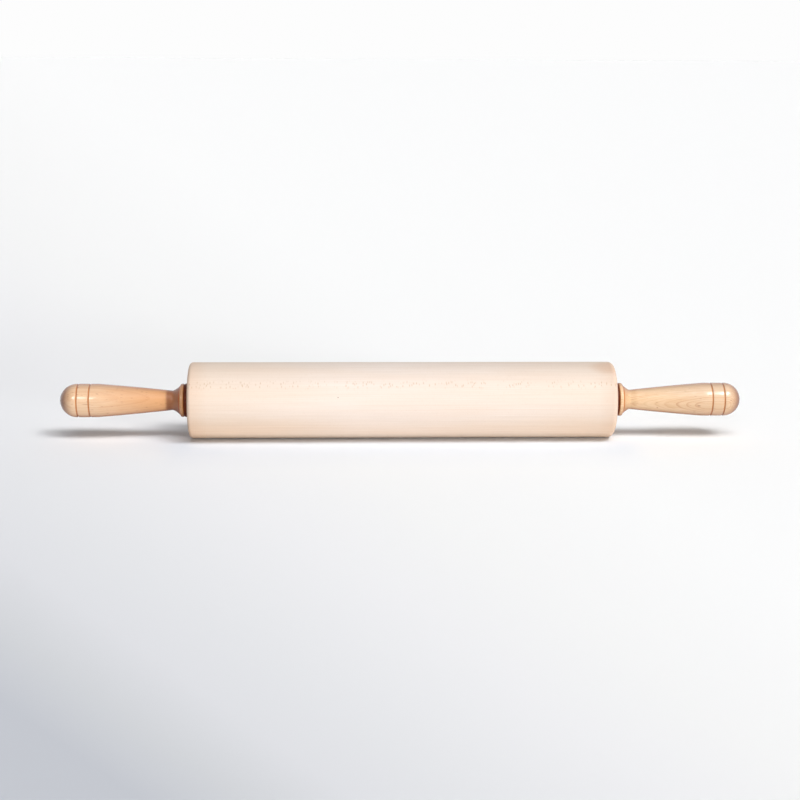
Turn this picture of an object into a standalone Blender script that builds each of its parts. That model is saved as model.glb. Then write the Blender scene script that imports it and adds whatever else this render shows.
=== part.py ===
"""Rolling pin: a turned maple barrel on two ball bearings, round a steel rod that joins two handles.

The pin lies along X with its left handle at -X. The origin is under the middle of the barrel, on the
surface that the pin rests on. Lengths are in metres.
"""

import math

import bmesh
import bpy
from mathutils import Matrix

# Barrel
BARREL_LENGTH = 0.3855
BARREL_RADIUS = 0.0345
LEFT_CORNER_RADIUS = 0.0034
RIGHT_CORNER_RADIUS = 0.0052
ROD_CLEARANCE = 0.0015

# Handle. Its dome is a half ball, so its tip groove lies just past the dome's foot. Its rim at the
# barrel is as wide as its grip, because both are turned from one blank
HANDLE_LENGTH = 0.1124
HANDLE_RADIUS = 0.0151
DOME_TO_GROOVE = 0.0014
GROOVE_SPACING = 0.011
GROOVE_TO_TAPER = 0.0072
GROOVE_WIDTH = 0.0015
GROOVE_DEPTH = 0.0006
TAPER_BULGE = 0.00028
NECK_RADIUS = 0.00885
NECK_FROM_FACE = 0.0111
RIM_ROUND_RADIUS = 0.0015
BORE_CHAMFER = 0.0005

# Collar between the handle and the barrel, a hair wider than the handle's rim
COLLAR_OVERHANG = 0.0001
COLLAR_THICKNESS = 0.004
COLLAR_ROUND_RADIUS = 0.0008
COLLAR_TO_BARREL_GAP = 0.0005
BOSS_WALL = 0.0014

# Rod and its threaded ends
ROD_RADIUS = 0.0047625
ROD_CHAMFER = 0.0005
THREAD_RADIUS = 0.00397
THREAD_PITCH = 0.0014111
THREAD_DEPTH = 0.0008
THREAD_RELIEF_LENGTH = 0.0015
THREAD_CLEARANCE = 0.00025

# Threaded insert in each handle
INSERT_WALL = 0.00203
INSERT_LENGTH = 0.0127
INSERT_RIM_LENGTH = 0.002
BARB_DEPTH = 0.0004

# Ball bearing, built up from its balls and walls to 22.2 mm across and 7.14 mm wide
BEARING_RECESS = 0.001
BEARING_CHAMFER = 0.0003
BALL_RADIUS = 0.0019845
BALL_CLEARANCE = 0.00015
INNER_RACE_WALL = 0.0009405
OUTER_RACE_WALL = 0.0010405
POCKET_CLEARANCE = 0.0002
CAGE_BACK_WALL = 0.00035
CAGE_TO_SHIELD_GAP = 0.0005365
SHIELD_THICKNESS = 0.0003
SHIELD_INSET = 0.0002
SHIELD_LIP = 0.0005
SHIELD_RUNNING_GAP = 0.0002

# Gap left wherever one piece is seated on another
SEAT_GAP = 0.0001

# Shares of the size that each one follows
COVE_CONTROL_SHARE = 0.2
THREAD_CREST_SHARE = 0.125
THREAD_ROOT_SHARE = 0.75
THREAD_SINK_SHARE = 0.12
RACE_SHOULDER_SHARE = 0.66
CAGE_HALF_WALL_SHARE = 0.35
CAGE_FINGER_SHARE = 0.5

# Counts and angles
BARREL_SIDES = 48
HANDLE_SIDES = 24
RING_SIDES = 28
SMALL_SIDES = 16
THREAD_STEPS = 10
CORNER_STEPS = 3
DOME_STEPS = 6
TAPER_STEPS = 4
COVE_STEPS = 4
RACEWAY_HALF_STEPS = 2
BALL_SEGMENTS = 8
BALL_RINGS = 6
BALL_COUNT = 7
BARB_COUNT = 4
SPARE_TURNS = 2
COLLAR_ROUND_STEPS = 2
RIM_ROUND_START = math.radians(40)
SHARP_ANGLE = math.radians(35)
DRILL_POINT_HALF_ANGLE = math.radians(59)
HALF_TURN = math.pi
QUARTER_TURN = math.pi / 2
FULL_TURN = 2 * math.pi

# Points of a turned outline that are closer to the axis than this are one point
MERGE_DISTANCE = 0.000001


def faceted_bore(radius, sides):
    """Radius of a bore with flat sides that clears a round piece by the seat gap all round."""
    return (radius + SEAT_GAP) / math.cos(HALF_TURN / sides)


# Sizes that follow from those above
RIM_RADIUS = HANDLE_RADIUS
COLLAR_RADIUS = RIM_RADIUS + COLLAR_OVERHANG
DOME_FOOT = HANDLE_LENGTH - HANDLE_RADIUS
TIP_GROOVE = DOME_FOOT - DOME_TO_GROOVE
INNER_GROOVE = TIP_GROOVE - GROOVE_SPACING
TAPER_START = INNER_GROOVE - GROOVE_TO_TAPER
AXIS_HEIGHT = BARREL_RADIUS * math.cos(HALF_TURN / BARREL_SIDES)
RACEWAY_RADIUS = BALL_RADIUS + BALL_CLEARANCE
PITCH_RADIUS = ROD_RADIUS + SEAT_GAP + INNER_RACE_WALL + RACEWAY_RADIUS
SHOULDER_OFFSET = BALL_RADIUS * RACE_SHOULDER_SHARE
BEARING_RADIUS = PITCH_RADIUS + RACEWAY_RADIUS + OUTER_RACE_WALL
CAGE_BACK = BALL_RADIUS + POCKET_CLEARANCE + CAGE_BACK_WALL
SHIELD_FACE = CAGE_BACK + CAGE_TO_SHIELD_GAP + SHIELD_THICKNESS
BEARING_HALF_WIDTH = SHIELD_FACE + SHIELD_INSET
BEARING_CENTRE = -BEARING_RECESS - BEARING_HALF_WIDTH
BEARING_SEAT_DEPTH = BEARING_RECESS + 2 * BEARING_HALF_WIDTH + SEAT_GAP
BEARING_SEAT_RADIUS = faceted_bore(BEARING_RADIUS, BARREL_SIDES)
BORE_RADIUS = ROD_RADIUS + ROD_CLEARANCE
COLLAR_FACE = COLLAR_TO_BARREL_GAP + COLLAR_THICKNESS
HANDLE_FACE = COLLAR_FACE + SEAT_GAP
INSERT_RADIUS = THREAD_RADIUS + INSERT_WALL
THREAD_START = HANDLE_FACE + THREAD_RELIEF_LENGTH
THREAD_TURNS = int((INSERT_LENGTH - THREAD_RELIEF_LENGTH) / THREAD_PITCH) - 1
THREAD_ROOT_RADIUS = THREAD_RADIUS - THREAD_DEPTH
ROD_TIP = THREAD_START + (THREAD_TURNS + 1) * THREAD_PITCH


def clear_scene():
    for obj in list(bpy.data.objects):
        bpy.data.objects.remove(obj)


def new_collection(name):
    made = bpy.data.collections.new(name)
    bpy.context.scene.collection.children.link(made)
    return made


def new_empty(name, parts, parent=None, along=0.0, turned_round=0.0):
    """Empty on the pin's axis, whose own Z is the axis and points away from the barrel."""
    made = bpy.data.objects.new(name, None)
    made.parent = parent
    made.location.z = along
    made.rotation_euler.x = turned_round
    parts.objects.link(made)
    return made


def new_material(name, colour, roughness, metallic=0.0):
    made = bpy.data.materials.new(name)
    made.use_nodes = True
    shader = made.node_tree.nodes["Principled BSDF"]
    shader.inputs["Base Color"].default_value = (*colour, 1.0)
    shader.inputs["Roughness"].default_value = roughness
    shader.inputs["Metallic"].default_value = metallic
    return made


def new_materials():
    return {
        "barrel": new_material("pale_maple", (0.87, 0.73, 0.58), 0.62),
        "handle": new_material("lacquered_maple", (0.76, 0.50, 0.28), 0.22),
        "collar": new_material("brown_plastic", (0.17, 0.055, 0.02), 0.35),
        "rod": new_material("rod_steel", (0.62, 0.62, 0.61), 0.3, 1.0),
        "insert": new_material("insert_brass", (0.78, 0.6, 0.3), 0.35, 1.0),
        "race": new_material("race_steel", (0.66, 0.67, 0.68), 0.22, 1.0),
        "ball": new_material("ball_steel", (0.75, 0.76, 0.77), 0.08, 1.0),
        "cage": new_material("cage_steel", (0.55, 0.54, 0.52), 0.4, 1.0),
        "shield": new_material("shield_steel", (0.6, 0.6, 0.59), 0.45, 1.0),
    }


def evaluated_mesh(obj):
    """The object's mesh with its modifiers applied. The object and its first mesh are removed."""
    bpy.context.view_layer.update()
    graph = bpy.context.evaluated_depsgraph_get()
    mesh = bpy.data.meshes.new_from_object(obj.evaluated_get(graph))
    source = obj.data
    name = source.name
    bpy.data.objects.remove(obj)
    bpy.data.meshes.remove(source)
    mesh.name = name
    return mesh


def swept_mesh(name, outline, sides, closed, lead=0.0, turns=1):
    """Mesh that a Screw modifier makes by turning an outline of (radius, height) points about Z.

    The outline runs down its outer side. A lead makes it a helix, which climbs that far each turn.
    """
    points = [(radius, 0, height) for radius, height in outline]
    edges = [(i, i + 1) for i in range(len(points) - 1)]
    if closed:
        edges.append((len(points) - 1, 0))
    mesh = bpy.data.meshes.new(name)
    mesh.from_pydata(points, edges, [])
    obj = bpy.data.objects.new(name, mesh)
    bpy.context.scene.collection.objects.link(obj)
    screw = obj.modifiers.new("turn", "SCREW")
    screw.axis = "Z"
    screw.angle = FULL_TURN
    screw.screw_offset = lead
    screw.iterations = turns
    screw.steps = sides
    screw.render_steps = sides
    screw.use_merge_vertices = lead == 0
    screw.merge_threshold = MERGE_DISTANCE
    return evaluated_mesh(obj)


def shade_round(mesh):
    mesh.shade_smooth()
    mesh.set_sharp_from_angle(angle=SHARP_ANGLE)


def turned_mesh(name, outline, sides, closed=True):
    mesh = swept_mesh(name, outline, sides, closed)
    shade_round(mesh)
    return mesh


def thread_mesh(name, clearance, start, turns):
    """Right-hand thread ridge as one closed body, whose sloping sides go on a little way into the core."""
    root = THREAD_ROOT_RADIUS + clearance
    crest = THREAD_RADIUS + clearance
    half_root = THREAD_PITCH * THREAD_ROOT_SHARE / 2
    half_crest = THREAD_PITCH * THREAD_CREST_SHARE / 2
    half_foot = half_root + (half_root - half_crest) * THREAD_SINK_SHARE
    foot = root - THREAD_DEPTH * THREAD_SINK_SHARE
    ridge = [
        (crest, start + half_crest),
        (crest, start - half_crest),
        (foot, start - half_foot),
        (foot, start + half_foot),
    ]
    mesh = swept_mesh(name, ridge, THREAD_STEPS, True, THREAD_PITCH, turns)
    edit = bmesh.new()
    edit.from_mesh(mesh)
    open_edges = [edge for edge in edit.edges if edge.is_boundary]
    bmesh.ops.holes_fill(edit, edges=open_edges, sides=0)
    bmesh.ops.recalc_face_normals(edit, faces=edit.faces)
    edit.to_mesh(mesh)
    edit.free()
    return mesh


def ball_mesh(name, radius, places):
    """Balls of one radius in one mesh, one at each of the places."""
    edit = bmesh.new()
    for place in places:
        bmesh.ops.create_uvsphere(
            edit,
            u_segments=BALL_SEGMENTS,
            v_segments=BALL_RINGS,
            radius=radius,
            matrix=Matrix.Translation(place),
        )
    mesh = bpy.data.meshes.new(name)
    edit.to_mesh(mesh)
    edit.free()
    mesh.shade_smooth()
    return mesh


def add_part(name, mesh, material, parts, parent, along=0.0):
    obj = bpy.data.objects.new(name, mesh)
    if not mesh.materials:
        mesh.materials.append(material)
    obj.parent = parent
    obj.location.z = along
    parts.objects.link(obj)
    return obj


def add_cutter(name, mesh, cutters, parent, along=0.0):
    obj = bpy.data.objects.new(name, mesh)
    obj.parent = parent
    obj.location.z = along
    obj.hide_render = True
    obj.display_type = "WIRE"
    cutters.objects.link(obj)
    return obj


def combine(obj, other, operation):
    boolean = obj.modifiers.new(operation.lower(), "BOOLEAN")
    boolean.operation = operation
    boolean.object = other


def arc(centre, radius, start, end, steps):
    """Points of a circle in the outline plane, with angles counted from the outward direction."""
    angles = [start + (end - start) * step / steps for step in range(steps + 1)]
    return [(centre[0] + radius * math.cos(a), centre[1] + radius * math.sin(a)) for a in angles]


def bezier(start, control, end, steps):
    """Points of a quadratic curve after its start."""
    points = []
    for step in range(1, steps + 1):
        t = step / steps
        weights = ((1 - t) ** 2, 2 * t * (1 - t), t**2)
        points.append(
            tuple(
                weights[0] * start[i] + weights[1] * control[i] + weights[2] * end[i]
                for i in range(2)
            )
        )
    return points


def mirrored(outline):
    """The outline's upper half, top to bottom, followed by its mirror image below."""
    return outline + [(radius, -height) for radius, height in reversed(outline)]


def ball_places():
    angles = [FULL_TURN * i / BALL_COUNT for i in range(BALL_COUNT)]
    return [(PITCH_RADIUS * math.cos(a), PITCH_RADIUS * math.sin(a), 0) for a in angles]


def barrel_outline():
    top = BARREL_LENGTH / 2
    right = (BARREL_RADIUS - RIGHT_CORNER_RADIUS, top - RIGHT_CORNER_RADIUS)
    left = (BARREL_RADIUS - LEFT_CORNER_RADIUS, LEFT_CORNER_RADIUS - top)
    floor = top - BEARING_SEAT_DEPTH
    return [
        *arc(right, RIGHT_CORNER_RADIUS, QUARTER_TURN, 0, CORNER_STEPS),
        *arc(left, LEFT_CORNER_RADIUS, 0, -QUARTER_TURN, CORNER_STEPS),
        (BEARING_SEAT_RADIUS, -top),
        (BEARING_SEAT_RADIUS, -floor),
        (BORE_RADIUS, -floor),
        (BORE_RADIUS, floor),
        (BEARING_SEAT_RADIUS, floor),
        (BEARING_SEAT_RADIUS, top),
    ]


def groove(centre):
    return [
        (HANDLE_RADIUS, centre + GROOVE_WIDTH / 2),
        (HANDLE_RADIUS - GROOVE_DEPTH, centre),
        (HANDLE_RADIUS, centre - GROOVE_WIDTH / 2),
    ]


def taper():
    """Long cone from the grip to the neck, very slightly swollen in the middle."""
    points = []
    for step in range(TAPER_STEPS + 1):
        t = step / TAPER_STEPS
        swell = 4 * t * (1 - t) * TAPER_BULGE
        radius = HANDLE_RADIUS + (NECK_RADIUS - HANDLE_RADIUS) * t + swell
        points.append((radius, TAPER_START + (NECK_FROM_FACE - TAPER_START) * t))
    return points


def flare():
    """Hollow curve from the neck out to the round rim, and the rim down to the flat face."""
    centre = (RIM_RADIUS - RIM_ROUND_RADIUS, RIM_ROUND_RADIUS)
    rim = arc(centre, RIM_ROUND_RADIUS, RIM_ROUND_START, -QUARTER_TURN, CORNER_STEPS)
    neck = (NECK_RADIUS, NECK_FROM_FACE)
    control = (NECK_RADIUS, NECK_FROM_FACE + (rim[0][1] - NECK_FROM_FACE) * COVE_CONTROL_SHARE)
    return bezier(neck, control, rim[0], COVE_STEPS) + rim[1:]


def handle_outline():
    """From the tip down to the flat face, then up the blind bore for the insert."""
    dome = arc((0, DOME_FOOT), HANDLE_RADIUS, QUARTER_TURN, 0, DOME_STEPS)
    bore = faceted_bore(INSERT_RADIUS, HANDLE_SIDES)
    depth = INSERT_LENGTH + SEAT_GAP
    return [
        *dome,
        *groove(TIP_GROOVE),
        *groove(INNER_GROOVE),
        *taper(),
        *flare(),
        (bore + BORE_CHAMFER, 0),
        (bore, BORE_CHAMFER),
        (bore, depth),
        (0, depth + bore / math.tan(DRILL_POINT_HALF_ANGLE)),
    ]


def collar_outline():
    """Flange with a round edge, and a boss towards the barrel that bears on the inner race."""
    bottom = COLLAR_TO_BARREL_GAP
    bore = faceted_bore(ROD_RADIUS, HANDLE_SIDES)
    edge = COLLAR_RADIUS - COLLAR_ROUND_RADIUS
    upper = (edge, COLLAR_FACE - COLLAR_ROUND_RADIUS)
    lower = (edge, bottom + COLLAR_ROUND_RADIUS)
    foot = SEAT_GAP - BEARING_RECESS
    return [
        *arc(upper, COLLAR_ROUND_RADIUS, QUARTER_TURN, 0, COLLAR_ROUND_STEPS),
        *arc(lower, COLLAR_ROUND_RADIUS, 0, -QUARTER_TURN, COLLAR_ROUND_STEPS),
        (bore + BOSS_WALL, bottom),
        (bore + BOSS_WALL, foot),
        (bore, foot),
        (bore, COLLAR_FACE),
    ]


def insert_outline():
    """Barbed sleeve. Each barb slopes towards the tip of the handle and is square behind."""
    barbs_top = HANDLE_FACE + INSERT_LENGTH
    barb_length = (INSERT_LENGTH - INSERT_RIM_LENGTH) / BARB_COUNT
    bore = THREAD_ROOT_RADIUS + THREAD_CLEARANCE
    outline = []
    for i in range(BARB_COUNT):
        outline.append((INSERT_RADIUS - BARB_DEPTH, barbs_top - i * barb_length))
        outline.append((INSERT_RADIUS, barbs_top - (i + 1) * barb_length))
    return outline + [(INSERT_RADIUS, HANDLE_FACE), (bore, HANDLE_FACE), (bore, barbs_top)]


def rod_outline():
    """Right half from the tip of its threaded end down to the shoulder, and the same on the left."""
    middle = BARREL_LENGTH / 2
    return [
        (0, middle + ROD_TIP),
        (THREAD_ROOT_RADIUS - ROD_CHAMFER, middle + ROD_TIP),
        (THREAD_ROOT_RADIUS, middle + ROD_TIP - ROD_CHAMFER),
        (THREAD_ROOT_RADIUS, middle + COLLAR_FACE),
        (ROD_RADIUS - ROD_CHAMFER, middle + COLLAR_FACE),
        (ROD_RADIUS, middle + COLLAR_FACE - ROD_CHAMFER),
    ]


def raceway(direction):
    """Upper half of a race's groove, from its edge to its deepest point.

    The direction is 1 for the groove in the outer race and -1 for the one in the inner race.
    """
    edge = math.acos(SHOULDER_OFFSET / RACEWAY_RADIUS)
    half = arc((0, 0), RACEWAY_RADIUS, edge, 0, RACEWAY_HALF_STEPS)
    return [(PITCH_RADIUS + direction * outward, height) for outward, height in half]


def outer_race_outline():
    top = BEARING_HALF_WIDTH
    outside = [(BEARING_RADIUS - BEARING_CHAMFER, top), (BEARING_RADIUS, top - BEARING_CHAMFER)]
    step = SHIELD_FACE - SHIELD_THICKNESS - SEAT_GAP
    shoulder = PITCH_RADIUS + SHOULDER_OFFSET
    seat = shoulder + SHIELD_LIP
    inside = [(seat, top), (seat, step), (shoulder, step), *raceway(1)]
    return mirrored(outside) + list(reversed(closed_raceway(inside)))


def inner_race_outline():
    shoulder = PITCH_RADIUS - SHOULDER_OFFSET
    outside = [(shoulder, BEARING_HALF_WIDTH), *raceway(-1)]
    inside = [(faceted_bore(ROD_RADIUS, RING_SIDES), BEARING_HALF_WIDTH)]
    return closed_raceway(outside) + list(reversed(mirrored(inside)))


def closed_raceway(upper):
    """Both halves of an outline whose upper half ends on the middle plane, which has one point."""
    return upper + mirrored(upper)[len(upper) + 1 :]


def cage_outline():
    """Ring behind the balls, with fingers that reach between them past their centres."""
    half_wall = BALL_RADIUS * CAGE_HALF_WALL_SHARE
    top = BALL_RADIUS * CAGE_FINGER_SHARE
    outer = PITCH_RADIUS + half_wall
    inner = PITCH_RADIUS - half_wall
    return [(outer, top), (outer, -CAGE_BACK), (inner, -CAGE_BACK), (inner, top)]


def shield_outline():
    """Washer in the outer race's step, which stops short of the inner race. Its top faces out."""
    outer = PITCH_RADIUS + SHOULDER_OFFSET + SHIELD_LIP - SEAT_GAP
    inner = PITCH_RADIUS - SHOULDER_OFFSET + SHIELD_RUNNING_GAP
    bottom = SHIELD_FACE - SHIELD_THICKNESS
    return [(outer, SHIELD_FACE), (outer, bottom), (inner, bottom), (inner, SHIELD_FACE)]


def add_barrel(parts, materials, axis):
    mesh = turned_mesh("barrel", barrel_outline(), BARREL_SIDES)
    barrel = add_part("barrel", mesh, materials["barrel"], parts, axis)
    barrel.rotation_euler.z = HALF_TURN / BARREL_SIDES


def add_rod(parts, cutters, materials, axis, ends):
    """Rod with a thread ridge joined to each end."""
    mesh = turned_mesh("centre_rod", mirrored(rod_outline()), SMALL_SIDES, closed=False)
    rod = add_part("centre_rod", mesh, materials["rod"], parts, axis)
    rod.rotation_euler.z = HALF_TURN / SMALL_SIDES
    ridge = thread_mesh("rod_thread", 0, THREAD_START, THREAD_TURNS)
    for side, end in ends.items():
        combine(rod, add_cutter(side + "_rod_thread", ridge, cutters, end), "UNION")


def add_inserts(parts, cutters, materials, ends):
    """Inserts whose thread is the rod's own, grown by a clearance and begun some turns earlier."""
    mesh = turned_mesh("threaded_insert", insert_outline(), SMALL_SIDES)
    turns = math.ceil(INSERT_LENGTH / THREAD_PITCH) + 2 * SPARE_TURNS
    start = THREAD_START - SPARE_TURNS * THREAD_PITCH
    groove_cut = thread_mesh("insert_thread", THREAD_CLEARANCE, start, turns)
    for side, end in ends.items():
        insert = add_part(side + "_threaded_insert", mesh, materials["insert"], parts, end)
        insert.rotation_euler.z = HALF_TURN / SMALL_SIDES
        combine(insert, add_cutter(side + "_insert_thread", groove_cut, cutters, end), "DIFFERENCE")


def add_handles(parts, materials, ends):
    handle_mesh = turned_mesh("handle", handle_outline(), HANDLE_SIDES, closed=False)
    collar_mesh = turned_mesh("collar", collar_outline(), HANDLE_SIDES)
    for side, end in ends.items():
        add_part(side + "_handle", handle_mesh, materials["handle"], parts, end, HANDLE_FACE)
        add_part(side + "_collar", collar_mesh, materials["collar"], parts, end)


def add_races_and_shields(parts, materials, ends):
    outer_mesh = turned_mesh("outer_race", outer_race_outline(), RING_SIDES)
    inner_mesh = turned_mesh("inner_race", inner_race_outline(), RING_SIDES)
    shield_mesh = turned_mesh("shield", shield_outline(), RING_SIDES)
    for side, end in ends.items():
        add_part(side + "_outer_race", outer_mesh, materials["race"], parts, end, BEARING_CENTRE)
        add_part(side + "_inner_race", inner_mesh, materials["race"], parts, end, BEARING_CENTRE)
        for facing, turned_round in (("handle", 0), ("barrel", HALF_TURN)):
            name = side + "_" + facing + "_side_shield"
            shield = add_part(name, shield_mesh, materials["shield"], parts, end, BEARING_CENTRE)
            shield.rotation_euler.x = turned_round


def add_balls_and_cages(parts, cutters, materials, ends):
    """Crown cages with a round pocket cut for each ball, and the balls in them."""
    cage_mesh = turned_mesh("cage", cage_outline(), RING_SIDES)
    pockets = ball_mesh("pockets", BALL_RADIUS + POCKET_CLEARANCE, ball_places())
    ball = ball_mesh("ball", BALL_RADIUS, [(0, 0, 0)])
    for side, end in ends.items():
        cage = add_part(side + "_cage", cage_mesh, materials["cage"], parts, end, BEARING_CENTRE)
        combine(cage, add_cutter(side + "_pockets", pockets, cutters, end, BEARING_CENTRE), "DIFFERENCE")
        for number, place in enumerate(ball_places(), 1):
            name = side + "_ball_" + str(number)
            made = add_part(name, ball, materials["ball"], parts, end, BEARING_CENTRE)
            made.location.xy = place[:2]


def main():
    clear_scene()
    parts = new_collection("rolling_pin")
    cutters = new_collection("cutters")
    materials = new_materials()
    axis = new_empty("pin_axis", parts)
    axis.location.z = AXIS_HEIGHT
    axis.rotation_euler.y = QUARTER_TURN
    half = BARREL_LENGTH / 2
    ends = {
        "left": new_empty("left_end", parts, axis, -half, HALF_TURN),
        "right": new_empty("right_end", parts, axis, half),
    }
    add_barrel(parts, materials, axis)
    add_rod(parts, cutters, materials, axis, ends)
    add_inserts(parts, cutters, materials, ends)
    add_handles(parts, materials, ends)
    add_races_and_shields(parts, materials, ends)
    add_balls_and_cages(parts, cutters, materials, ends)


main()
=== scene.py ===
"""Looks of a rolling pin: a pale maple barrel, lacquered handles, plastic collars and steel bearings.

Every piece lies where the frame's solid for it lies. X runs along the pin, and lengths are in metres.
"""

import math

import bmesh
import bpy
from bpy.props import FloatProperty, FloatVectorProperty, IntProperty, PointerProperty
from bpy.types import NodeSocket, Operator, Panel, PropertyGroup
from mathutils import Color, Matrix, Vector
from mathutils.geometry import interpolate_bezier


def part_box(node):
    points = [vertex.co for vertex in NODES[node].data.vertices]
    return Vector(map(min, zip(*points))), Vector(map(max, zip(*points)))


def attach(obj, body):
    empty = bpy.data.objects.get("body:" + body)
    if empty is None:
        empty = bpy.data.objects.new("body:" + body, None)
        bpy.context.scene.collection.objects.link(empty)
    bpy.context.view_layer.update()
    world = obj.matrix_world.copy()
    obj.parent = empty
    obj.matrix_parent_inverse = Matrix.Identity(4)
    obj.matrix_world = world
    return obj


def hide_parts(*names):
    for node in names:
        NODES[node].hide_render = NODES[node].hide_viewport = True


bl_info = {
    "name": "Rolling Pin",
    "version": (1, 0, 0),
    "blender": (4, 5, 0),
    "location": "3D View > Sidebar > Rolling Pin",
    "description": "Turns and finishes a rolling pin round its frame",
    "category": "Add Mesh",
}

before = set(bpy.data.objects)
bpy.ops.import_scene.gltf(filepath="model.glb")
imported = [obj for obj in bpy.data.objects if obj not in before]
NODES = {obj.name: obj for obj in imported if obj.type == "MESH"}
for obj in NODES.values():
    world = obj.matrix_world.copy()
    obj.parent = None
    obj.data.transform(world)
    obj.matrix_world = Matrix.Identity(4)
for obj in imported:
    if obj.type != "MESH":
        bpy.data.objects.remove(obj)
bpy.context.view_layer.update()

SENSOR_WIDTH = 36  # of the camera, in millimetres as its lens is
SAME_POINT = 0.00001
SHARP_ANGLE = math.radians(38)
TO_PULL = 2 / 3  # share of the way to a quadratic curve's pull point at which a cubic one's handles lie
DRILL_POINT = 0.6  # depth of a drilled hole's point, as a share of its radius

BARREL_LOW, BARREL_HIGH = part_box("barrel")
AXIS_HEIGHT = (BARREL_LOW.z + BARREL_HIGH.z) / 2
BARREL_END = BARREL_HIGH.x
HANDLE_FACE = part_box("right_handle")[0].x
COLLAR_LOW, COLLAR_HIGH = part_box("right_collar")


# Shapes


class Outline:
    """Outline of a turned piece, drawn with bmesh in the plane through the axis that faces the front.

    A point is a distance along X and a radius, and may carry the distance at which its corner is rounded.
    """

    def __init__(self):
        self.shape = bmesh.new()
        self.points = []
        self.rounds = []

    def add(self, along, radius, rounded=0.0):
        point = self.shape.verts.new((along, 0, AXIS_HEIGHT + radius))
        if self.points:
            self.shape.edges.new((self.points[-1], point))
        self.points.append(point)
        if rounded:
            self.rounds.append((point, rounded))

    def curve(self, start, pull, end, steps):
        """Smooth curve that leaves the start and reaches the end in the directions of the pull point."""
        start, pull, end = Vector(start), Vector(pull), Vector(end)
        near_start = start.lerp(pull, TO_PULL)
        near_end = end.lerp(pull, TO_PULL)
        for point in interpolate_bezier(start, near_start, near_end, end, steps):
            self.add(point.x, point.y)

    def close(self):
        self.shape.edges.new((self.points[-1], self.points[0]))

    def turn(self, name, sides, segments):
        """Rounds the marked corners, spins the outline about the pin's axis and returns the mesh."""
        for point, distance in self.rounds:
            bmesh.ops.bevel(
                self.shape,
                geom=[point],
                offset=distance,
                offset_type="OFFSET",
                affect="VERTICES",
                segments=segments,
                profile=0.5,  # a round one
                material=-1,
            )
        bmesh.ops.spin(
            self.shape,
            geom=self.shape.verts[:] + self.shape.edges[:],
            cent=(0, 0, AXIS_HEIGHT),
            axis=(1, 0, 0),
            angle=math.tau,
            steps=sides,
            use_merge=True,
        )
        return finished_mesh(name, self.shape)


def finished_mesh(name, shape):
    """Mesh of a closed shape, with doubles merged, faces out and sharp edges only where it turns hard."""
    bmesh.ops.remove_doubles(shape, verts=shape.verts, dist=SAME_POINT)
    bmesh.ops.recalc_face_normals(shape, faces=shape.faces)
    mesh = bpy.data.meshes.new(name)
    shape.to_mesh(mesh)
    shape.free()
    mesh.shade_smooth()
    mesh.set_sharp_from_angle(angle=SHARP_ANGLE)
    return mesh


def mirrored_mesh(mesh, name):
    """Copy of a mesh for the pin's left end."""
    shape = bmesh.new()
    shape.from_mesh(mesh)
    bmesh.ops.scale(shape, vec=(-1, 1, 1), verts=shape.verts)
    return finished_mesh(name, shape)


def add_piece(name, mesh, material, body, nodes):
    piece = bpy.data.objects.new(name, mesh)
    bpy.context.scene.collection.objects.link(piece)
    mesh.materials.append(material)
    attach(piece, body)
    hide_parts(*nodes)


def add_pair(outline, s, made, kind, materials):
    """The right one of two like pieces and its mirror image. Both ride with the handles."""
    right = outline.turn(f"{made}_right_{kind}", s.sides, s.corner_sides)
    left = mirrored_mesh(right, f"{made}_left_{kind}")
    for side, mesh, material in zip(("left", "right"), (left, right), materials):
        add_piece(f"{made}_{side}_{kind}", mesh, material, "handles", [f"{side}_{kind}"])


# Node helpers


def from_levels(levels):
    """Red, green and blue from 0 to 1, for levels from 0 to 255."""
    return tuple(level / 255 for level in levels)


def linear(colour):
    """A colour picked on screen, as the renderer's own value with alpha."""
    return (*Color(colour).from_srgb_to_scene_linear(), 1.0)


def add_node(tree, kind, values=None, **settings):
    made = tree.nodes.new("ShaderNode" + kind)
    for name, value in settings.items():
        setattr(made, name, value)
    for socket, value in (values or {}).items():
        if isinstance(value, NodeSocket):
            tree.links.new(value, made.inputs[socket])
        else:
            made.inputs[socket].default_value = value
    return made


def connect(tree, node, values):
    for label, socket in values.items():
        tree.links.new(socket, node.inputs[label])


def calculate(tree, operation, first, *others):
    """Maths on values in a row: each node takes the last result and the next value."""
    for other in others or (0.0,):
        first = add_node(tree, "Math", {0: first, 1: other}, operation=operation).outputs[0]
    return first


def vector_maths(tree, operation, first, second=(0, 0, 0)):
    made = add_node(tree, "VectorMath", {0: first, 1: second}, operation=operation)
    return made.outputs["Value" if operation in ("LENGTH", "DOT_PRODUCT") else "Vector"]


def parts_of(tree, vector):
    """X, Y and Z of a vector."""
    return add_node(tree, "SeparateXYZ", {0: vector}).outputs


def ramp(tree, value, low, high, to_low=0.0, to_high=1.0, smooth=True):
    kind = "SMOOTHSTEP" if smooth else "LINEAR"
    values = {0: value, 1: low, 2: high, 3: to_low, 4: to_high}
    return add_node(tree, "MapRange", values, interpolation_type=kind).outputs[0]


def blend(tree, share, first, second, kind="MIX"):
    """Colour mix. The second colour lies over the first by the share."""
    values = {0: share, 6: first, 7: second}
    made = add_node(tree, "Mix", values, data_type="RGBA", blend_type=kind)
    return made.outputs[2]


def paint(tree, under, picked, share, strength=None, kind="MIX"):
    """Lays a colour picked on screen over another by the share, times the strength where one is given."""
    if strength is not None:
        share = calculate(tree, "MULTIPLY", share, strength)
    return blend(tree, share, under, linear(picked), kind)


def tint(tree, under, picked, share, strength=None):
    """Multiplies a colour by one picked on screen, as far as the share says."""
    return paint(tree, under, picked, share, strength, "MULTIPLY")


def noise(tree, point, scale, detail=2.0, roughness=0.5):
    values = {"Vector": point, "Scale": scale, "Detail": detail, "Roughness": roughness}
    return add_node(tree, "TexNoise", values).outputs[0]


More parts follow.
